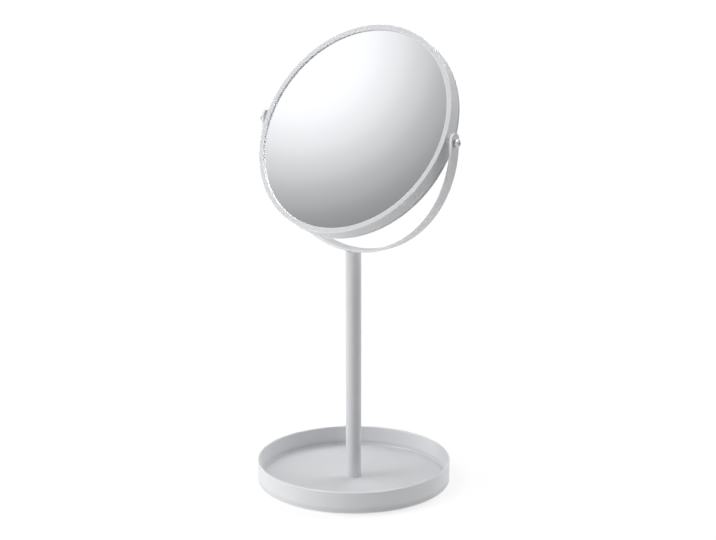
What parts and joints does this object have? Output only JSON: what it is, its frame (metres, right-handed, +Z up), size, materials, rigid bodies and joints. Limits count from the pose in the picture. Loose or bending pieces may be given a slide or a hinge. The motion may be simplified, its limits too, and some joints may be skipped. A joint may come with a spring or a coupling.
{
  "type": "table make-up mirror",
  "caption": "Round tilting make-up mirror, plain in front and magnifying behind, held in a U-shaped yoke on a straight pole that stands in a round open tray.",
  "frame": {"origin": "on the table under the centre of the tray, at the bottom centre of the whole mirror's box", "axes": "+Z up along the pole, front mirror facing -Y and upwards, +X along the head's tilt axis"},
  "size_m": [0.1852, 0.15, 0.3507],
  "materials": {
    "white_coat": "matt white powder coat",
    "screw_steel": "bare zinc-plated steel",
    "turned_steel": "plain turned steel",
    "spring_steel": "plain spring steel",
    "insert_brass": "plain turned brass",
    "silvered_glass": "silvered float glass",
    "magnifying_glass": "silvered hollow glass",
    "nylon": "natural nylon",
    "carrier_plastic": "black moulded plastic",
    "foam": "pale closed-cell foam",
    "pad_rubber": "dark soft pad"
  },
  "bodies": {
    "stand": {"tray": "white_coat", "base_pad": "pad_rubber", "base_screw": "screw_steel", "pole": "white_coat", "pole_foot_plug": "turned_steel", "pole_top_plug": "turned_steel", "yoke": "white_coat"},
    "head": {"head_band": "white_coat", "front_bezel": "white_coat", "rear_bezel": "white_coat", "front_mirror": "silvered_glass", "rear_mirror": "magnifying_glass", "mirror_carrier": "carrier_plastic", "front_foam": "foam", "rear_foam": "foam", "pivot_screws": "screw_steel", "pivot_inserts": "insert_brass", "pivot_spacers": "nylon", "friction_washers": "nylon", "disc_springs": "spring_steel"}
  },
  "joints": [
    {"name": "head_tilt", "type": "hinge", "parent": "stand", "child": "head", "pos_m": [0, 0.00401, 0.2755], "axis": [1, 0, 0], "continuous": true}
  ]
}
